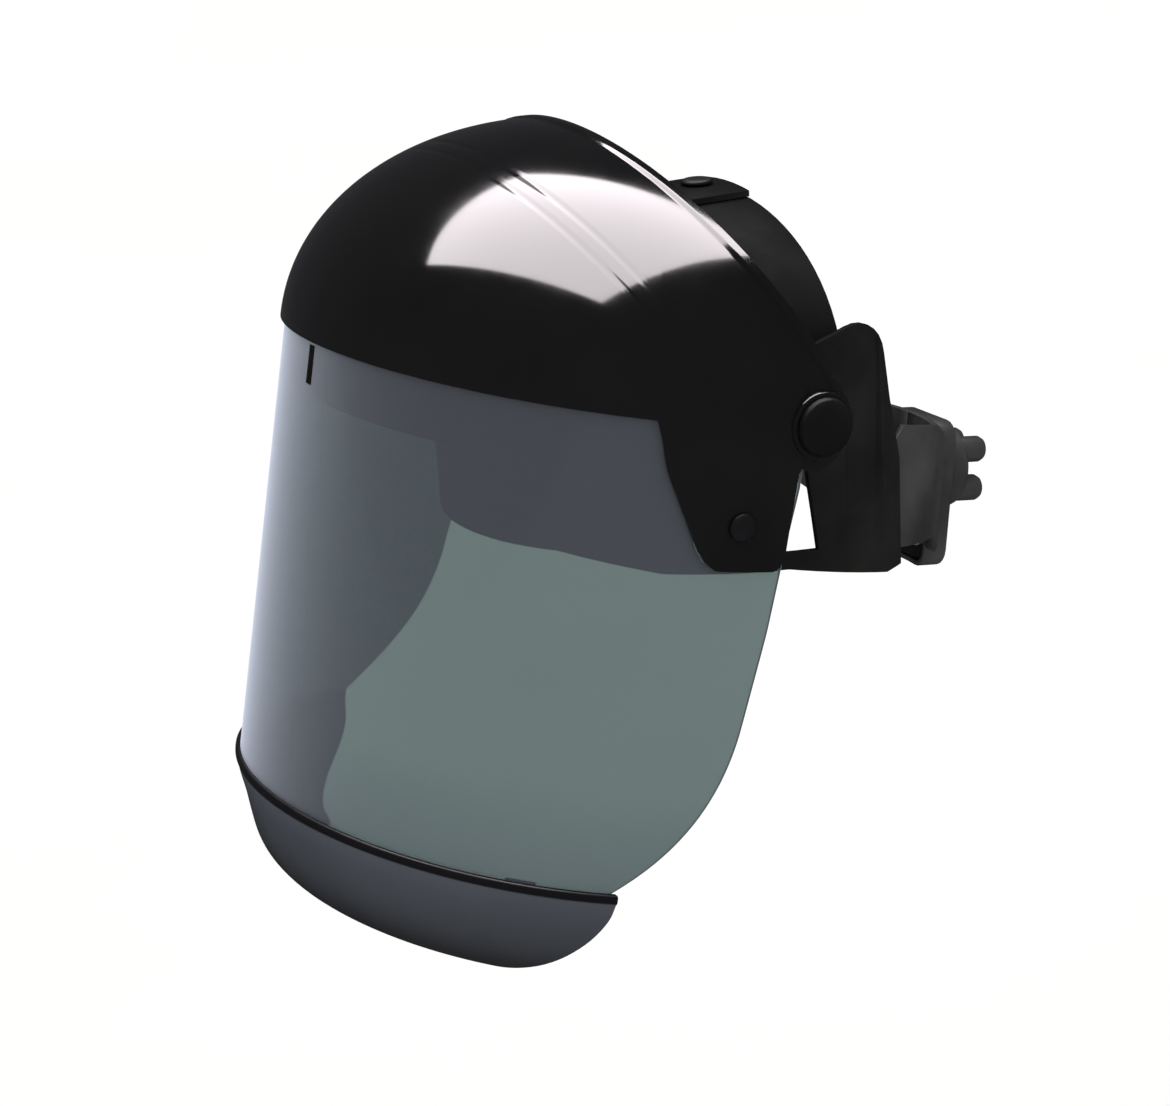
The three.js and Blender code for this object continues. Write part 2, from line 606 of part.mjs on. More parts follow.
for (const [name, side] of SIDES) {
  const screw = turned([side * SCREW_X, SCREW_SINK - 1.4, 0], [side * SCREW_X, FAR, 0], [
    [0, 0], [2, 0], [SCREW_HEAD_R, 0.5], [SCREW_HEAD_R, 1.2], [SCREW_R, 1.2], [SCREW_R, 5.5], [0, 5.5],
  ], 16);
  add(`cover_screw_${name}`, screw, STEEL, yokeFrame);
}

{
  const seat = KNOB_GAP_Y + KNOB_DISC_L - 2 + 0.3;
  const screw = turned([0, seat + 2, 0], [0, -FAR, 0], [
    [0, 0], [2.6, 0], [3.6, 0.8], [3.6, 2], [SCREW_R, 2], [SCREW_R, seat - 1], [0, seat - 1],
  ], 16);
  add('knob_screw', screw, STEEL, yokeFrame);
}

export default group;
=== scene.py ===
# Face shield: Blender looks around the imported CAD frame. Metres, +Z up, the wearer faces -Y.
import json
import math

import bmesh
import bpy
from mathutils import Matrix, Vector


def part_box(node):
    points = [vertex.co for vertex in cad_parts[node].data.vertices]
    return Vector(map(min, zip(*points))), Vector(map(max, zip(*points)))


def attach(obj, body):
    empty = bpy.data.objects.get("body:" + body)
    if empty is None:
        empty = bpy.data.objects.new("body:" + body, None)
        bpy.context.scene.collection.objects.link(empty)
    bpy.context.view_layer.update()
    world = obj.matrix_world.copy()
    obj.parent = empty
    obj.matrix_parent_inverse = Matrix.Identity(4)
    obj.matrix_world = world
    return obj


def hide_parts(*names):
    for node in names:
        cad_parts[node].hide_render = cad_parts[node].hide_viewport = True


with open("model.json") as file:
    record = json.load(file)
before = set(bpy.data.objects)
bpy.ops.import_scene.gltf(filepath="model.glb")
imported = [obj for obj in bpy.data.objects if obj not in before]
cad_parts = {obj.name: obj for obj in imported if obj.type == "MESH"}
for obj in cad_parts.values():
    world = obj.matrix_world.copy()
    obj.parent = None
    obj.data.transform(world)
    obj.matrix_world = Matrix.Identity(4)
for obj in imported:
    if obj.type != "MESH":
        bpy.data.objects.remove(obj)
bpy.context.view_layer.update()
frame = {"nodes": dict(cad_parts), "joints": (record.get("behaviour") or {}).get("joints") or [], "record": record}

MM = 0.001

# ---- camera: azimuth round +Z from -Y towards +X, and elevation above the horizon ------------
CAMERA_AZIMUTH = 64.84
CAMERA_ELEVATION = 17.71
CAMERA_DISTANCE = 1.1419
CAMERA_TARGET = Vector((-0.0655, -0.0138, -0.0541))
CAMERA_ROLL = -3.79
LENS_MM = 94.06
SENSOR_MM = 36.0

# ---- the shield's own frame and its driving dimensions, as in the part (mm) -------------------
SHIELD_Y = -41.6
SHIELD_Z = 24.4
LEAN = math.radians(12)
WINDOW_W = 117.3
WINDOW_D = 99.8
WINDOW_T = 1.6
WINDOW_TOP = 20.0
WINDOW_BOTTOM = -141.6
PIVOT_RELIEF = 12.2
BRIM_Z = 15.4
CROWN_OUT = 3.3
CROWN_A = WINDOW_W + CROWN_OUT
CROWN_B = WINDOW_D + CROWN_OUT
CROWN_T = 2.4
CROWN_H = 80.0
RIM_POINT = (-21.5, 94.0)
RIM_NORMAL = (0.785, 0.62)
RIM_LIP_T = 0.7
RIM_LIP_START = 4.0
RIM_LIP_FADE = 1.4
EAR_R = 15.0
EAR_REACH = EAR_R - 0.3
EAR_FROM_Y = 26
WING_Z = -30.5
# the wing's lower edge: (y, z) in the shield frame, from the brim back to the ear
WING_EDGE = [
    (-33, BRIM_Z), (-30.5, 8), (-29, 2), (-27, -3), (-21.5, -13.5), (-16, -24), (-13, -28),
    (-9, WING_Z), (12, WING_Z), (14.5, WING_Z + 1.2), (16, WING_Z + 4), (16.05, -1), (17.5, 2.2),
]
# boss round the pivot pin: closed outline of (radius, x)
BOSS_PROFILE = [
    (4.0, 111.6), (10.6, 111.6), (11.0, 112.0), (11.0, 119.6), (10.8, 120.1), (10.3, 120.4),
    (4.4, 120.4), (4.0, 120.0),
]
GUARD_Z = -137.8
GUARD_GAP = 0.9
GUARD_T = 1.8
GUARD_DEEP = 39
GUARD_A = WINDOW_W + GUARD_GAP
GUARD_RATIO = (WINDOW_D + GUARD_GAP) / GUARD_A
# (radius less GUARD_A, depth below the rim): down the outside, round the lip, and back up inside
GUARD_OUTSIDE = [
    (GUARD_T + 0.3, 0.15), (GUARD_T + 0.8, -0.5), (GUARD_T + 0.8, -2.1), (GUARD_T + 0.3, -3.0),
    (GUARD_T - 0.1, -3.6), (GUARD_T - 1.5, -7), (-2.6, -13), (-5.3, -19.6), (-8.2, -26),
    (-11.2, -30.2), (-15, -33.4), (-19.2, -35.7), (-24, -37.4), (-28.5, -38.2), (-31.4, -38.4),
]
GUARD_INSIDE = [
    (-32, -37.9), (-32, -36.9), (-31.2, -36.3), (-24.3, -35.3), (-19.6, -33.7), (-15.9, -31.4),
    (-12.5, -28.4), (-9.7, -24.6), (-6.9, -18.6), (-4.4, -12.6), (-2.0, -7.4), (0, -3.4),
    (0, -0.3), (0.5, 0.15),
]
BAND_X = 84.0
BAND_Y = 91.0
BAND_T = 2.4
NAPE_A = 77.0
NAPE_B = 85.5
LEAN_FROM = 25.0
YOKE_Y = 88.3
YOKE_Z = -24.0
YOKE_LEAN = math.radians(8)
LEAN_TO = YOKE_Y - 3

# ---- pads (mm) --------------------------------------------------------------------------------
PAD_T = 5.0
BROW_INSET = BAND_T + 0.6
BROW_HALF_ANGLE = math.radians(64)
BROW_CHANNELS = 7
NAPE_HALF_W = 30
NAPE_CHANNELS = 3

# pad section: how square it is across and up, and how far it thins at channels and ends
PAD_SQUARE_ACROSS = 0.7
PAD_SQUARE_UP = 0.55
PAD_PUFF_POWER = 0.35
PAD_CHANNEL_SHARE = 0.62
PAD_END_SHARE = 0.25
PAD_END_HEIGHT_SHARE = 0.86

# ---- mesh density -----------------------------------------------------------------------------
CROWN_ROWS = 150
CROWN_STEP = math.radians(1.1)
CROWN_FINE_FROM_Y = 35
CROWN_FINE_COLUMNS = 90
WING_NOTCH_Y = 16.0
DOME_MEAN_R = 90.0
BISECTIONS = 40
WINDOW_COLUMNS = 220
# window row spacing: fine by the pivot relief, middling round the lower corners, else wide
WINDOW_FINE_ABOVE = 2
WINDOW_FINE_STEP = 0.6
WINDOW_CORNER_BELOW = -80
WINDOW_CORNER_STEP = 1.6
WINDOW_WIDE_STEP = 3.0
GUARD_COLUMNS = 240
PAD_COLUMNS = 40
PAD_RING = 28
PAD_END_COLUMNS = 14

# ---- colours and finishes ---------------------------------------------------------------------
RAMP_START = 0.35
RAMP_END = 0.65

WINDOW_TINT_LOW = (0.097, 0.142, 0.126)
WINDOW_TINT_HIGH = (0.103, 0.150, 0.132)
# painted shade: the window is darkened from this height down to its foot, where the chin guard shades it
WINDOW_FOOT_SHADE_TOP = -104
WINDOW_FOOT_PAINTED_SHADE = (0.62, 0.62, 0.66)
# painted reflection: a pale diffuse layer on the window stands in for its reflection of the pale surround, growing
# at a slant as that reflection would
PAINTED_REFLECTION_COLOUR = (0.76, 0.81, 0.98)
PAINTED_REFLECTION_FACE = 0.068
PAINTED_REFLECTION_SLANT = 0.9
PAINTED_REFLECTION_POWER = 3.85
# guard's colour up its height, a painted shade: darkest round the underside, paler up towards the rim, then the
# black rim; share of the height, colour
GUARD_PAINTED_SHADE_RAMP = [
    (0.2, (0.022, 0.022, 0.026)), (0.45, (0.040, 0.045, 0.054)), (0.75, (0.055, 0.063, 0.077)),
    (0.92, (0.066, 0.072, 0.09)), (0.935, (0.006, 0.006, 0.008)),
]
SCORE_LINES = (34.3, 40.5)
SCORE_HALF = 1.9
SCORE_DEPTH = 0.22

# ---- studio (m, and emission strengths) -------------------------------------------------------
FLOOR_Z = -0.55
FLOOR_REACH = 14
SOFTBOX_Z = 1.35
SOFTBOX_STRENGTH = 12.0
# corners as (x, y) for each metre of height, placed for the crown's slanting highlight
SOFTBOX_CORNERS = [(-0.6, -0.78), (-0.8, 0.17), (-0.01, 0.95), (0.47, -0.28)]
WORLD_STRENGTH = 1.12
GLOSSY_WORLD_STRENGTH = 0.05

SHIELD_FRAME = (
    Matrix.Translation((0, SHIELD_Y * MM, SHIELD_Z * MM)) @ Matrix.Rotation(-LEAN, 4, "X")
)
PIVOT_WORLD = Vector(next(j for j in frame["joints"] if j["name"] == "shield_tilt")["pos_m"])
PIVOT = SHIELD_FRAME.inverted() @ PIVOT_WORLD
PIVOT_Y, PIVOT_Z = PIVOT.y / MM, PIVOT.z / MM


# ---- mesh helpers -----------------------------------------------------------------------------
def new_object(name, bm, smooth=True):
    mesh = bpy.data.meshes.new(name)
    bmesh.ops.recalc_face_normals(bm, faces=bm.faces)
    bm.to_mesh(mesh)
    bm.free()
    for face in mesh.polygons:
        face.use_smooth = smooth
    piece = bpy.data.objects.new(name, mesh)
    bpy.context.scene.collection.objects.link(piece)
    return piece


def grid(rows, close_rows=False, cap=False):
    """Quads between rows of points; close_rows joins each row's ends, cap fills the first and last row."""
    bm = bmesh.new()
    verts = [[bm.verts.new(p) for p in row] for row in rows]
    count = len(rows[0])
    last = count if close_rows else count - 1
    for near, far in zip(verts[:-1], verts[1:]):
        for i in range(last):
            j = (i + 1) % count
            bm.faces.new((near[i], near[j], far[j], far[i]))
    if cap:
        bm.faces.new(verts[0][::-1])
        bm.faces.new(verts[-1])
    return bm


def in_world(points, place):
    return [[place @ (Vector(p) * MM) for p in row] for row in points]


def interpolate(table, x):
    """Straight-line lookup in a list of (x, y) sorted by x, held at both ends."""
    if x <= table[0][0]:
        return table[0][1]
    for (x0, y0), (x1, y1) in zip(table[:-1], table[1:]):
        if x <= x1:
            return y0 + (y1 - y0) * (x - x0) / (x1 - x0)
    return table[-1][1]


def bezier(p0, p1, p2, p3, steps):
    """Points along a cubic Bezier curve."""
    out = []
    for i in range(steps + 1):
        t = i / steps
        k = (1 - t) ** 3, 3 * t * (1 - t) ** 2, 3 * t * t * (1 - t), t ** 3
        out.append(tuple(sum(w * p[n] for w, p in zip(k, (p0, p1, p2, p3))) for n in (0, 1)))
    return out


def rounded(points, steps):
    """Catmull-Rom curve through the points."""
    out = []
    ends = [points[0]] + points + [points[-1]]
    for p0, p1, p2, p3 in zip(ends, ends[1:], ends[2:], ends[3:]):
        for i in range(steps):
            t = i / steps
            out.append(tuple(
                0.5 * (2 * b + (c - a) * t + (2 * a - 5 * b + 4 * c - d) * t * t
                       + (3 * b - a - 3 * c + d) * t ** 3)
                for a, b, c, d in zip(p0, p1, p2, p3)))
    return out + [points[-1]]


def smoothstep(x):
    x = max(0.0, min(1.0, x))
    return x * x * (3 - 2 * x)


def bevel(piece, width, segments=2, angle=35):
    mod = piece.modifiers.new("edge", "BEVEL")
    mod.width = width
    mod.segments = segments
    mod.limit_method = "ANGLE"
    mod.angle_limit = math.radians(angle)
    mod.harden_normals = True


def thicken(piece, thickness, offset):
    mod = piece.modifiers.new("wall", "SOLIDIFY")
    mod.thickness = thickness
    mod.offset = offset
    mod.use_even_offset = True


def finish_piece(piece, body, slot, material, *nodes):
    piece.data.materials.append(material)
    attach(piece, body)
    if nodes:
        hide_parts(*nodes)


# ---- materials --------------------------------------------------------------------------------
def shader(name):
    material = bpy.data.materials.new(name)
    material.use_nodes = True
    nodes = material.node_tree.nodes
    return material, nodes, material.node_tree.links, nodes["Principled BSDF"]


def noise_node(nodes, links, scale, detail=3.0, rough=0.5):
    where = nodes.new("ShaderNodeTexCoord")
    texture = nodes.new("ShaderNodeTexNoise")
    texture.inputs["Scale"].default_value = scale
    texture.inputs["Detail"].default_value = detail
    texture.inputs["Roughness"].default_value = rough
    links.new(where.outputs["Object"], texture.inputs["Vector"])
    return texture


def colour_between(nodes, links, factor, low, high):
    ramp = nodes.new("ShaderNodeValToRGB")
    ramp.color_ramp.elements[0].position = RAMP_START
    ramp.color_ramp.elements[1].position = RAMP_END
    ramp.color_ramp.elements[0].color = (*low, 1)
    ramp.color_ramp.elements[1].color = (*high, 1)
    links.new(factor, ramp.inputs["Fac"])
    return ramp.outputs["Color"]


def range_between(nodes, links, factor, low, high):
    span = nodes.new("ShaderNodeMapRange")
    span.inputs["From Min"].default_value = 0.3
    span.inputs["From Max"].default_value = 0.7
    span.inputs["To Min"].default_value = low
    span.inputs["To Max"].default_value = high
    links.new(factor, span.inputs["Value"])
    return span.outputs["Result"]


def along(nodes, links, axis):
    """Distance of the surface point along an axis through the part's origin, in metres."""
    where = nodes.new("ShaderNodeTexCoord")
    measure = nodes.new("ShaderNodeVectorMath")
    measure.operation = "DOT_PRODUCT"
    measure.inputs[1].default_value = axis
    links.new(where.outputs["Object"], measure.inputs[0])
    return measure.outputs["Value"]


def shield_height(nodes, links, low, high):
    """0 to 1 from low to high (mm) up the shield's own leaning Z axis."""
    up = SHIELD_FRAME.to_3x3() @ Vector((0, 0, 1))
    base = up.dot(SHIELD_FRAME.translation)
    span = nodes.new("ShaderNodeMapRange")
    span.inputs["From Min"].default_value = base + low * MM
    span.inputs["From Max"].default_value = base + high * MM
    links.new(along(nodes, links, up), span.inputs["Value"])
    return span.outputs["Result"]


def mixed(nodes, links, factor, low, high, blend="MIX"):
    mix = nodes.new("ShaderNodeMix")
    mix.data_type = "RGBA"
    mix.blend_type = blend
    for socket, value in (("Factor_Float", factor), ("A_Color", low), ("B_Color", high)):
        port = next(i for i in mix.inputs if i.identifier == socket)
        if isinstance(value, bpy.types.NodeSocket):
            links.new(value, port)
        else:
            port.default_value = (*value, 1) if isinstance(value, tuple) else value
    return next(o for o in mix.outputs if o.identifier == "Result_Color")


def add_bump(nodes, links, bsdf, height, strength, distance):
    bump = nodes.new("ShaderNodeBump")
    bump.inputs["Strength"].default_value = strength
    bump.inputs["Distance"].default_value = distance
    links.new(height, bump.inputs["Height"])
    links.new(bump.outputs["Normal"], bsdf.inputs["Normal"])


def moulded(name, low, high, rough_low, rough_high, grain=1400, depth=0.25, mottle=30, shine=0.5):
    """Moulded plastic: slow colour and gloss drift, and a fine grain in relief."""
    material, nodes, links, bsdf = shader(name)
    drift = noise_node(nodes, links, mottle)
    links.new(colour_between(nodes, links, drift.outputs["Fac"], low, high), bsdf.inputs["Base Color"])
    smear = noise_node(nodes, links, mottle * 3.5, 5.0, 0.6)
    rough = range_between(nodes, links, smear.outputs["Fac"], rough_low, rough_high)
    links.new(rough, bsdf.inputs["Roughness"])
    fine = noise_node(nodes, links, grain, 2.0)
    add_bump(nodes, links, bsdf, fine.outputs["Fac"], depth, 0.0002)
    bsdf.inputs["Specular IOR Level"].default_value = shine
    return material


def guard_plastic():
    """Dark blue-grey moulding with a black rim; below the rim a painted shade, paler just under the rim and darker
    round its underside.
    """
    material = moulded("guard_grey", (0.9, 0.9, 0.9), (1.0, 1.0, 1.0), 0.3, 0.42, 1100, 0.15, 22, 0.3)
    nodes, links = material.node_tree.nodes, material.node_tree.links
    bsdf = nodes["Principled BSDF"]
    mottle = bsdf.inputs["Base Color"].links[0].from_socket
    # painted shade: colour ramp up the guard's height, darkest round its underside, black at the rim
    depth = shield_height(nodes, links, GUARD_Z - GUARD_DEEP, GUARD_Z)
    ramp = nodes.new("ShaderNodeValToRGB")
    ramp.color_ramp.elements[0].color = (0.012, 0.012, 0.013, 1)
    ramp.color_ramp.elements[1].color = (0.006, 0.006, 0.008, 1)
    for at, colour in GUARD_PAINTED_SHADE_RAMP:
        ramp.color_ramp.elements.new(at).color = (*colour, 1)
    links.new(depth, ramp.inputs["Fac"])
    links.new(mixed(nodes, links, 1.0, ramp.outputs["Color"], mottle, "MULTIPLY"), bsdf.inputs["Base Color"])
    return material


def crown_plastic():
    """Glossy moulded dome, scored by two shallow parallel lines ahead of its slanting rear rim."""
    material, nodes, links, bsdf = shader("crown_gloss")
    drift = noise_node(nodes, links, 14)
    links.new(
        colour_between(nodes, links, drift.outputs["Fac"], (0.0045, 0.0045, 0.005), (0.007, 0.0066, 0.0068)),
        bsdf.inputs["Base Color"])
    smear = noise_node(nodes, links, 50, 5.0, 0.6)
    links.new(range_between(nodes, links, smear.outputs["Fac"], 0.07, 0.12), bsdf.inputs["Roughness"])
    rim = SHIELD_FRAME @ Vector((0, RIM_POINT[0] * MM, RIM_POINT[1] * MM))
    across = (SHIELD_FRAME.to_3x3() @ Vector((0, *RIM_NORMAL))).normalized()
    ahead = along(nodes, links, across)
    height = None
    for line in SCORE_LINES:
        away = nodes.new("ShaderNodeMath")
        away.operation = "SUBTRACT"
        away.inputs[1].default_value = across.dot(rim) - line * MM
        links.new(ahead, away.inputs[0])
        size = nodes.new("ShaderNodeMath")
        size.operation = "ABSOLUTE"
        links.new(away.outputs["Value"], size.inputs[0])
        dip = nodes.new("ShaderNodeMapRange")
        dip.interpolation_type = "SMOOTHSTEP"
        dip.inputs["From Max"].default_value = SCORE_HALF * MM
        links.new(size.outputs["Value"], dip.inputs["Value"])
        if height is None:
            height = dip.outputs["Result"]
        else:
            both = nodes.new("ShaderNodeMath")
            both.operation = "MULTIPLY"
            links.new(height, both.inputs[0])
            links.new(dip.outputs["Result"], both.inputs[1])
            height = both.outputs["Value"]
    add_bump(nodes, links, bsdf, height, 1.0, SCORE_DEPTH * MM)
    bsdf.inputs["Coat Weight"].default_value = 0.2
    bsdf.inputs["Coat Roughness"].default_value = 0.05
    return material


def tinted_window():
    """Dark tinted polycarbonate: clear and glossy, with a pale painted reflection that thickens at a slant, and a
    painted shade towards its foot.
    """
    material, nodes, links, bsdf = shader("window_tint")
    drift = noise_node(nodes, links, 9, 2.0)
    tint = colour_between(nodes, links, drift.outputs["Fac"], WINDOW_TINT_LOW, WINDOW_TINT_HIGH)
    # painted shade darkening the window towards its foot, behind the chin guard
    rise = shield_height(nodes, links, WINDOW_BOTTOM, WINDOW_FOOT_SHADE_TOP)
    foot_painted_shade = mixed(nodes, links, rise, WINDOW_FOOT_PAINTED_SHADE, (1.0, 1.0, 1.0))
    links.new(mixed(nodes, links, 1.0, tint, foot_painted_shade, "MULTIPLY"), bsdf.inputs["Base Color"])
    wipe = noise_node(nodes, links, 55, 4.0, 0.6)
    links.new(range_between(nodes, links, wipe.outputs["Fac"], 0.015, 0.04), bsdf.inputs["Roughness"])
    bsdf.inputs["Transmission Weight"].default_value = 1.0
    bsdf.inputs["IOR"].default_value = 1.45
    # painted reflection: diffuse layer, mixed in more at a slant, standing in for the pane's reflection of the
    # pale surround
    painted_reflection = nodes.new("ShaderNodeBsdfDiffuse")
    painted_reflection.inputs["Color"].default_value = (*PAINTED_REFLECTION_COLOUR, 1)
    facing = nodes.new("ShaderNodeLayerWeight")
    facing.inputs["Blend"].default_value = 0.5
    steep = nodes.new("ShaderNodeMath")
    steep.operation = "POWER"
    steep.inputs[1].default_value = PAINTED_REFLECTION_POWER
    links.new(facing.outputs["Facing"], steep.inputs[0])
    amount = nodes.new("ShaderNodeMapRange")
    amount.inputs["To Min"].default_value = PAINTED_REFLECTION_FACE
    amount.inputs["To Max"].default_value = PAINTED_REFLECTION_SLANT
    links.new(steep.outputs["Value"], amount.inputs["Value"])
    mix = nodes.new("ShaderNodeMixShader")
    links.new(amount.outputs["Result"], mix.inputs["Fac"])
    links.new(bsdf.outputs["BSDF"], mix.inputs[1])
    links.new(painted_reflection.outputs["BSDF"], mix.inputs[2])
    links.new(mix.outputs["Shader"], nodes["Material Output"].inputs["Surface"])
    return material


def foam_cloth(name, low, high):
    """Knitted cover: small staggered loops in relief, matt with a little sheen."""
    material, nodes, links, bsdf = shader(name)
    drift = noise_node(nodes, links, 60, 4.0)
    links.new(colour_between(nodes, links, drift.outputs["Fac"], low, high), bsdf.inputs["Base Color"])
    where = nodes.new("ShaderNodeTexCoord")
    loops = nodes.new("ShaderNodeTexVoronoi")
    loops.inputs["Scale"].default_value = 900
    links.new(where.outputs["Object"], loops.inputs["Vector"])
    add_bump(nodes, links, bsdf, loops.outputs["Distance"], 0.6, 0.0004)
    bsdf.inputs["Roughness"].default_value = 0.92
    bsdf.inputs["Sheen Weight"].default_value = 0.25
    return material


def plated_steel(name):
    material, nodes, links, bsdf = shader(name)
    drift = noise_node(nodes, links, 120, 4.0)
    links.new(
        colour_between(nodes, links, drift.outputs["Fac"], (0.42, 0.42, 0.43), (0.58, 0.58, 0.6)),
        bsdf.inputs["Base Color"])
    brush = noise_node(nodes, links, 600, 3.0)
    links.new(range_between(nodes, links, brush.outputs["Fac"], 0.22, 0.42), bsdf.inputs["Roughness"])
    add_bump(nodes, links, bsdf, brush.outputs["Fac"], 0.15, 0.0001)
    bsdf.inputs["Metallic"].default_value = 1.0
    return material


CROWN_GLOSS = crown_plastic()
BLACK_SATIN = moulded("black_satin", (0.006, 0.006, 0.007), (0.010, 0.010, 0.012), 0.42, 0.55, shine=0.12)
GUARD_GREY = guard_plastic()
NYLON_DARK = moulded(
    "nylon_dark", (0.009, 0.009, 0.009), (0.015, 0.015, 0.015), 0.55, 0.7, 1600, 0.3, shine=0.02)
# painted sheen: the rear nylon is painted paler for the grey light its bands and knob catch
NYLON_PAINTED_SHEEN = moulded(
    "nylon_painted_sheen", (0.030, 0.030, 0.031), (0.052, 0.052, 0.054), 0.45, 0.6, 1600, 0.3, shine=0.15)
WINDOW = tinted_window()
BROW_CLOTH = foam_cloth("brow_foam", (0.012, 0.012, 0.015), (0.024, 0.024, 0.028))
STEEL = plated_steel("steel")
LOOKS = {
    "crown_gloss": CROWN_GLOSS, "black_satin": BLACK_SATIN, "guard_grey": GUARD_GREY,
    "nylon_dark": NYLON_DARK, "window_tint": WINDOW, "brow_foam": BROW_CLOTH,
    "nape_foam": BROW_CLOTH, "steel": STEEL,
}
# rear nodes painted paler, a painted sheen for the grey light they catch, whatever slot the record gives them
SHEEN_PAINTED_NODES = ("nape_band_left", "nape_band_right", "ratchet_housing", "ratchet_knob")


# ---- shield: crown ------------------------------------------------------------------------------
def crown_low(y):
    """Height of the crown's lower edge: the wing outline, then the ear's arc."""
    if y < WING_EDGE[-1][0]:
        return interpolate(WING_EDGE, y)
    reach = max(0.0, EAR_R ** 2 - (y - PIVOT_Y) ** 2)
    return PIVOT_Z - math.sqrt(reach)


def rim_distance(y, z):
    """Distance behind the crown's slanting rear rim plane, negative in front of it."""
    return (y - RIM_POINT[0]) * RIM_NORMAL[0] + (z - RIM_POINT[1]) * RIM_NORMAL[1]


def crown_top_angle(phi):
    """How far up the dome its slanting rear rim is met at plan angle phi."""
    low, high = 0.0, math.pi / 2
    for _ in range(BISECTIONS):
        mid = (low + high) / 2
        y = -CROWN_B * math.cos(mid) * math.cos(phi)
        if rim_distance(y, BRIM_Z + CROWN_H * math.sin(mid)) < 0:
            low = mid
        else:
            high = mid
    return low


def crown_relief(y, z):
    """Thicker lip along the dome's rear rim."""
    return RIM_LIP_T * smoothstep((rim_distance(y, z) + RIM_LIP_START) / RIM_LIP_FADE)


def crown_point(phi, share):
    """Point on the crown at plan angle phi, share of the way up from its lower edge to its rim."""
    y0 = -CROWN_B * math.cos(phi)
    low = min(BRIM_Z, crown_low(y0)) if y0 < PIVOT_Y - EAR_REACH else crown_low(y0)
    top = crown_top_angle(phi)
    if y0 > EAR_FROM_Y:
        reach = math.sqrt(max(0.0, EAR_R ** 2 - (y0 - PIVOT_Y) ** 2))
        top = min(top, math.asin(min(1.0, max(0.0, (PIVOT_Z + reach - BRIM_Z) / CROWN_H))))
    skirt = BRIM_Z - low
    length = skirt + DOME_MEAN_R * top
    reached = share * length
    if reached < skirt:
        theta, z = 0.0, low + reached
    else:
        theta = (reached - skirt) / DOME_MEAN_R
        z = BRIM_Z + CROWN_H * math.sin(theta)
    return Vector((
        CROWN_A * math.cos(theta) * math.sin(phi), -CROWN_B * math.cos(theta) * math.cos(phi), z))


def crown_columns():
    """Plan angles of the crown's columns on one side, closer together over the wing and ear."""
    stops = [0.0]
    fine_from = math.acos(CROWN_FINE_FROM_Y / CROWN_B)
    while stops[-1] < fine_from:
        stops.append(stops[-1] + CROWN_STEP)
    end = math.pi - math.acos((PIVOT_Y + EAR_REACH) / CROWN_B)
    first = stops[-1]
    count = CROWN_FINE_COLUMNS
    stops += [first + (end - first) * (i + 1) / count for i in range(count)]
    notch = math.pi - math.acos(WING_NOTCH_Y / CROWN_B)
    nearest = min(range(len(stops)), key=lambda i: abs(stops[i] - notch))
    stops[nearest] = notch
    return stops


def crown_normal(point):
    """Outward normal of the smooth dome or of the upright skirt under its brim."""
    height = max(0.0, point.z - BRIM_Z)
    return Vector((point.x / CROWN_A ** 2, point.y / CROWN_B ** 2, height / CROWN_H ** 2)).normalized()


def build_crown():
    half = crown_columns()
    angles = [-a for a in reversed(half[1:])] + half
    points = []
    for phi in angles:
        smooth = [crown_point(phi, k / CROWN_ROWS) for k in range(CROWN_ROWS + 1)]
        outside = [p + crown_normal(p) * crown_relief(p.y, p.z) for p in smooth]
        inside = [p - crown_normal(p) * CROWN_T for p in smooth]
        points.append(outside + inside[::-1])
    crown = new_object("crown", grid(in_world(points, SHIELD_FRAME), close_rows=True, cap=True))
    bevel(crown, 0.5 * MM, 3, 60)
    finish_piece(crown, "shield", "crown_gloss", CROWN_GLOSS, "crown_shell")
    for side in (1, -1):
        boss = build_turned(
            f"crown_boss_{'left' if side > 0 else 'right'}",
            BOSS_PROFILE,
            PIVOT_WORLD / MM, side)
        finish_piece(boss, "shield", "crown_gloss", CROWN_GLOSS)


def build_turned(name, profile, centre, side, steps=72):
    """Closed profile of (radius, x) turned about the X axis through centre, on one side."""
    rows = []
    for i in range(steps):
        a = 2 * math.pi * i / steps
        rows.append([
            Vector((side * x, centre.y + r * math.cos(a), centre.z + r * math.sin(a))) for r, x in profile])
    rows.append(rows[0])
    bm = grid([[p * MM for p in row] for row in rows], close_rows=True)
    bmesh.ops.remove_doubles(bm, verts=bm.verts, dist=1e-6)
    piece = new_object(name, bm)
    bevel(piece, 0.15 * MM, 2, 30)
    return piece


# ---- shield: window -------------------------------------------------------------------------------
WINDOW_REAR = sorted(
    (z, y) for y, z in
    [(19.1, -4), (16.7, -23), (14, -51)]
    + bezier((9, -84), (4, -112), (-14, -128), (-32, WINDOW_BOTTOM), 24))


def window_rear(z):
    """How far back the window reaches, with a round relief ahead of the pivot."""
    y = interpolate(WINDOW_REAR, z)
    drop = abs(z - PIVOT_Z)
    if drop < PIVOT_RELIEF:
        y = min(y, PIVOT_Y - math.sqrt(PIVOT_RELIEF ** 2 - drop ** 2))
    return y


def window_step(z):
    if z > WINDOW_FINE_ABOVE:
        return WINDOW_FINE_STEP
    if z < WINDOW_CORNER_BELOW:
        return WINDOW_CORNER_STEP
    return WINDOW_WIDE_STEP


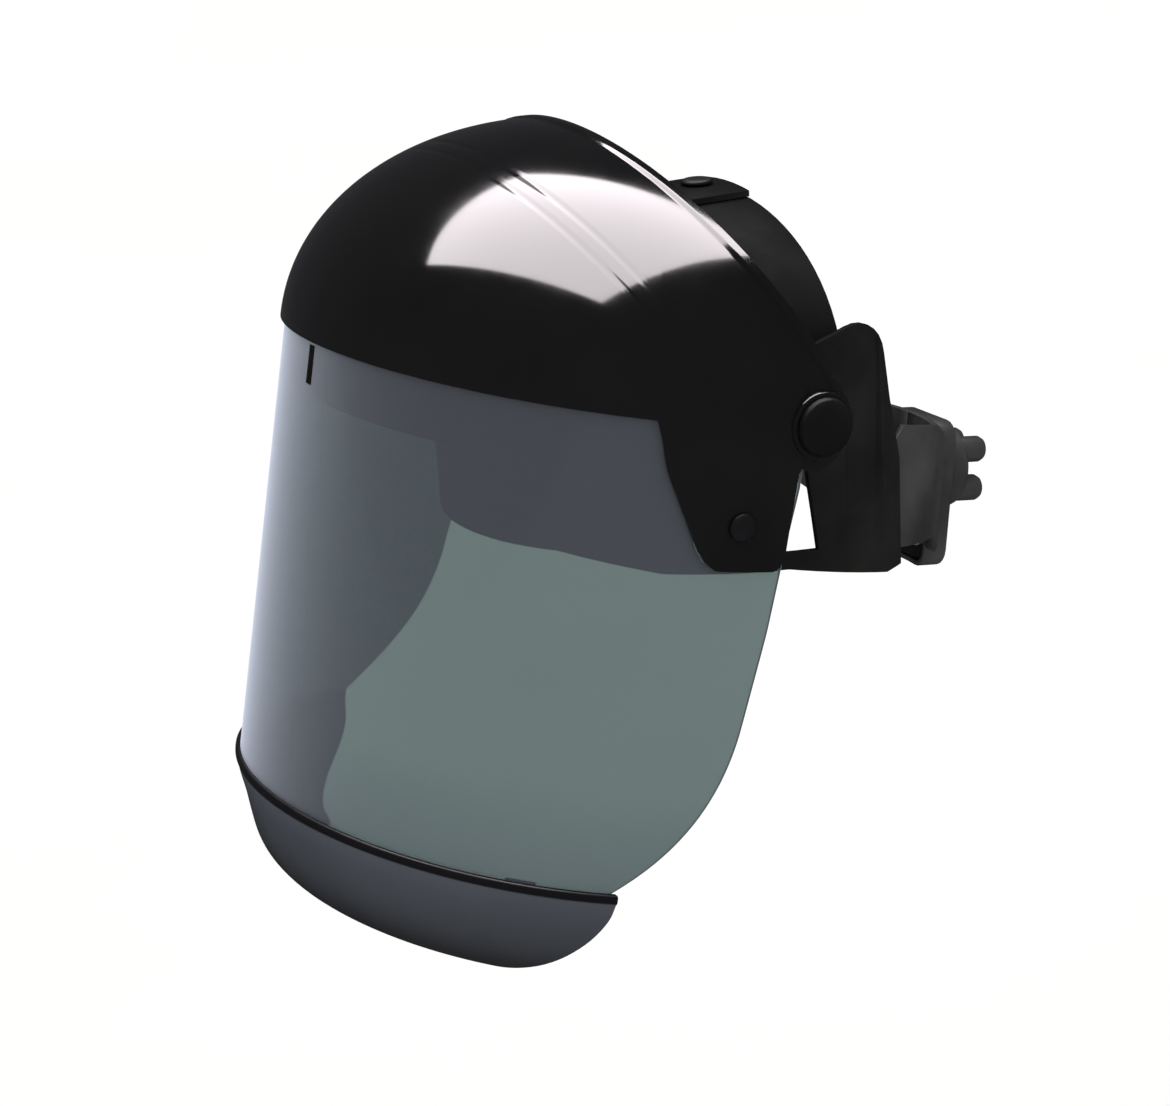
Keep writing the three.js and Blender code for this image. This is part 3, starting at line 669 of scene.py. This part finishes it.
def build_window():
    heights = []
    z = WINDOW_BOTTOM
    while z < WINDOW_TOP:
        heights.append(z)
        z += window_step(z)
    heights.append(WINDOW_TOP)
    rows = []
    for z in heights:
        end = math.pi - math.acos(window_rear(z) / WINDOW_D)
        rows.append([
            (WINDOW_W * math.sin(end * s), -WINDOW_D * math.cos(end * s), z)
            for s in (2 * i / WINDOW_COLUMNS - 1 for i in range(WINDOW_COLUMNS + 1))])
    window = new_object("window", grid(in_world(rows, SHIELD_FRAME)))
    thicken(window, WINDOW_T * MM, 1)
    bevel(window, 0.35 * MM, 2, 60)
    finish_piece(window, "shield", "window_tint", WINDOW, "visor_window")


# ---- shield: chin guard -----------------------------------------------------------------------------
GUARD_PROFILE = rounded(GUARD_OUTSIDE, 4) + rounded(GUARD_INSIDE, 3)
GUARD_END = sorted((z, y) for y, z in bezier((-26, -8), (-26.6, -17.5), (-34.5, -27.5), (-50, -39), 20))


def build_guard_row(angle_share):
    """One closed section of the guard, its ends trimmed to the rounded lower corners."""
    row = []
    for dr, depth in GUARD_PROFILE:
        r = GUARD_A + dr
        end = math.pi - math.acos(interpolate(GUARD_END, depth) / (r * GUARD_RATIO))
        phi = end * angle_share
        row.append((r * math.sin(phi), -r * GUARD_RATIO * math.cos(phi), GUARD_Z + depth))
    return row


def build_guard():
    rows = [build_guard_row(2 * i / GUARD_COLUMNS - 1) for i in range(GUARD_COLUMNS + 1)]
    guard = new_object("guard", grid(in_world(rows, SHIELD_FRAME), close_rows=True, cap=True))
    bevel(guard, 0.3 * MM, 2, 50)
    finish_piece(guard, "shield", "guard_grey", GUARD_GREY, "chin_guard")


# ---- pads -------------------------------------------------------------------------------------------
def build_pad(name, a, b, thickness, low, high, start, end, channels, lean=None):
    """Foam pad on an elliptical wall: pillowed between its sewn channels, rounded at every edge."""
    columns = PAD_COLUMNS * channels
    middle, half = (low + high) / 2, (high - low) / 2
    rows = []
    for i in range(columns + 1):
        share = i / columns
        phi = start + (end - start) * share
        puff = abs(math.sin(math.pi * channels * share)) ** PAD_PUFF_POWER
        taper = (
            smoothstep(share * columns / PAD_END_COLUMNS)
            * smoothstep((1 - share) * columns / PAD_END_COLUMNS))
        swell = (
            (PAD_CHANNEL_SHARE + (1 - PAD_CHANNEL_SHARE) * puff)
            * (PAD_END_SHARE + (1 - PAD_END_SHARE) * taper))
        row = []
        for k in range(PAD_RING):
            u = 2 * math.pi * k / PAD_RING
            across = math.copysign(abs(math.cos(u)) ** PAD_SQUARE_ACROSS, math.cos(u))
            up = math.copysign(abs(math.sin(u)) ** PAD_SQUARE_UP, math.sin(u))
            inward = thickness * (0.5 - 0.5 * across * (swell if across < 0 else 1))
            z = middle + half * up * (PAD_END_HEIGHT_SHARE + (1 - PAD_END_HEIGHT_SHARE) * taper)
            radius_x, radius_y = a - inward, b - inward
            point = Vector((radius_x * math.sin(phi), -radius_y * math.cos(phi), z))
            row.append(lean(point) if lean else point)
        rows.append(row)
    return new_object(name, grid([[p * MM for p in row] for row in rows], close_rows=True, cap=True))


def lean_back(point):
    """The nape bands' own lean: rearward with height, more and more towards the back of the head."""
    share = smoothstep((point.y - LEAN_FROM) / (LEAN_TO - LEAN_FROM))
    point.y += (point.z - YOKE_Z) * math.tan(YOKE_LEAN) * share
    return point


def build_pads():
    low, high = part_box("brow_pad")
    brow = build_pad(
        "brow_cushion", BAND_X - BROW_INSET, BAND_Y - BROW_INSET, PAD_T, low.z / MM, high.z / MM,
        -BROW_HALF_ANGLE, BROW_HALF_ANGLE, BROW_CHANNELS)
    finish_piece(brow, "headgear", "brow_foam", BROW_CLOTH, "brow_pad")
    low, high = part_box("nape_pad")
    half_turn = math.asin(NAPE_HALF_W / NAPE_A)
    nape = build_pad(
        "nape_cushion", NAPE_A, NAPE_B, PAD_T, low.z / MM, high.z / MM,
        math.pi - half_turn, math.pi + half_turn, NAPE_CHANNELS, lean_back)
    finish_piece(nape, "rear_yoke", "nape_foam", BROW_CLOTH, "nape_pad")


build_crown()
build_window()
build_guard()
build_pads()


# ---- carried-over CAD nodes ---------------------------------------------------------------------------
def dress_cad_nodes():
    slots = {row["node"]: row["material_slot"] for row in frame["record"]["subparts"]}
    for name, node in frame["nodes"].items():
        if node.hide_render:
            continue
        node.data.materials.clear()
        node.data.materials.append(NYLON_PAINTED_SHEEN if name in SHEEN_PAINTED_NODES else LOOKS[slots[name]])
        weld = node.modifiers.new("weld", "WELD")
        weld.merge_threshold = 1e-5
        bevel(node, 0.3 * MM, 2, 32)
        for face in node.data.polygons:
            face.use_smooth = True


dress_cad_nodes()


# ---- studio -------------------------------------------------------------------------------------------
def emitter(name, strength, colour):
    material = bpy.data.materials.new(name)
    material.use_nodes = True
    nodes = material.node_tree.nodes
    nodes.clear()
    glow = nodes.new("ShaderNodeEmission")
    glow.inputs["Color"].default_value = (*colour, 1)
    glow.inputs["Strength"].default_value = strength
    out = nodes.new("ShaderNodeOutputMaterial")
    material.node_tree.links.new(glow.outputs["Emission"], out.inputs["Surface"])
    return material


def build_floor():
    bm = bmesh.new()
    bmesh.ops.create_grid(bm, x_segments=8, y_segments=8, size=FLOOR_REACH)
    floor = new_object("floor", bm, smooth=False)
    floor.location.z = FLOOR_Z
    material, nodes, links, bsdf = shader("floor_pale")
    drift = noise_node(nodes, links, 0.8)
    links.new(
        colour_between(nodes, links, drift.outputs["Fac"], (0.9, 0.9, 0.89), (0.93, 0.93, 0.92)),
        bsdf.inputs["Base Color"])
    bsdf.inputs["Roughness"].default_value = 1.0
    bsdf.inputs["Specular IOR Level"].default_value = 0.0
    floor.data.materials.append(material)
    floor.visible_glossy = False


def build_softbox():
    """Overhead softbox, whose four corners give the crown its slanting highlight."""
    bm = bmesh.new()
    corners = [bm.verts.new((x * SOFTBOX_Z, y * SOFTBOX_Z, SOFTBOX_Z)) for x, y in SOFTBOX_CORNERS]
    bm.faces.new(corners)
    box = new_object("softbox", bm, smooth=False)
    box.visible_camera = False
    box.visible_transmission = False
    box.visible_diffuse = False
    box.data.materials.append(emitter("softbox_glow", SOFTBOX_STRENGTH, (1.0, 0.93, 0.96)))


def build_world():
    """Even pale surround; what the gloss reflects from above the floor is dimmer, as in a dark room."""
    world = bpy.data.worlds.new("studio")
    bpy.context.scene.world = world
    world.use_nodes = True
    nodes, links = world.node_tree.nodes, world.node_tree.links
    nodes.clear()
    pale = nodes.new("ShaderNodeBackground")
    pale.inputs["Color"].default_value = (1, 1, 0.99, 1)
    pale.inputs["Strength"].default_value = WORLD_STRENGTH
    dim = nodes.new("ShaderNodeBackground")
    dim.inputs["Color"].default_value = (0.9, 0.92, 1, 1)
    dim.inputs["Strength"].default_value = GLOSSY_WORLD_STRENGTH
    ray = nodes.new("ShaderNodeLightPath")
    mix = nodes.new("ShaderNodeMixShader")
    out = nodes.new("ShaderNodeOutputWorld")
    links.new(ray.outputs["Is Glossy Ray"], mix.inputs["Fac"])
    links.new(pale.outputs["Background"], mix.inputs[1])
    links.new(dim.outputs["Background"], mix.inputs[2])
    links.new(mix.outputs["Shader"], out.inputs["Surface"])


def build_camera():
    azimuth, elevation = math.radians(CAMERA_AZIMUTH), math.radians(CAMERA_ELEVATION)
    back = Vector((
        math.sin(azimuth) * math.cos(elevation), -math.cos(azimuth) * math.cos(elevation),
        math.sin(elevation)))
    right = Vector((0, 0, 1)).cross(back).normalized()
    up = back.cross(right)
    turn = Matrix((right, up, back)).transposed().to_4x4()
    data = bpy.data.cameras.new("camera")
    data.lens = LENS_MM
    data.sensor_width = SENSOR_MM
    data.clip_end = 60
    camera = bpy.data.objects.new("camera", data)
    bpy.context.scene.collection.objects.link(camera)
    place = Matrix.Translation(CAMERA_TARGET + back * CAMERA_DISTANCE)
    camera.matrix_world = place @ turn @ Matrix.Rotation(math.radians(CAMERA_ROLL), 4, "Z")
    bpy.context.scene.camera = camera


build_floor()
build_softbox()
build_world()
build_camera()
bpy.context.scene.view_settings.view_transform = "Standard"
